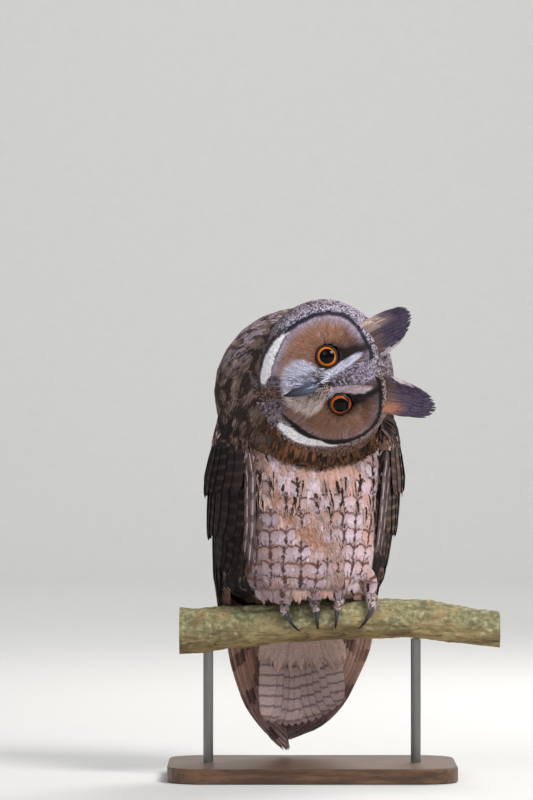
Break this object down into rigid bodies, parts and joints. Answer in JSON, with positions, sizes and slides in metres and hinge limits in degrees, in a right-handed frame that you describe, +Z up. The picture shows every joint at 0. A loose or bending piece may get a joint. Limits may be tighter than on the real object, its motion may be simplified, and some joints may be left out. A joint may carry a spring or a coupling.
{
  "type": "long eared owl",
  "caption": "Life-size perched long-eared owl looking at the viewer with its head rolled over to its left, on a cut length of branch held by a plain stand",
  "frame": {"origin": "centre of the flat underside of the stand's base", "axes": "metres, +Z up, the owl looks along -Y and the branch runs along X, with the owl's left at +X"},
  "size_m": [0.2671, 0.1695, 0.3826],
  "materials": {
    "feather_brown": "soft mottled brown feather",
    "feather_buff": "pale buff feather with dark streaks",
    "feather_dark": "dark brown barred feather",
    "feather_face": "tawny facial disc feather",
    "horn": "dark horn, low gloss",
    "eye": "wet orange iris with a black pupil",
    "bark": "bark grown over with green lichen",
    "stand_wood": "satin dark wood",
    "stand_steel": "brushed"
  },
  "bodies": {
    "root": {"bill_lower": "horn", "bill_upper": "horn", "branch": "bark", "ear_tuft_left": "feather_dark", "ear_tuft_right": "feather_dark", "eye_left": "eye", "eye_right": "eye", "foot_left": "feather_buff", "foot_right": "feather_buff", "head": "feather_face", "leg_left": "feather_buff", "leg_right": "feather_buff", "neck": "feather_brown", "stand_base": "stand_wood", "stand_rod_left": "stand_steel", "stand_rod_right": "stand_steel", "tail": "feather_buff", "talon_left_back_1": "horn", "talon_left_back_2": "horn", "talon_left_front_1": "horn", "talon_left_front_2": "horn", "talon_right_back_1": "horn", "talon_right_back_2": "horn", "talon_right_front_1": "horn", "talon_right_front_2": "horn", "torso": "feather_buff", "wing_left": "feather_dark", "wing_right": "feather_dark"}
  },
  "joints": []
}
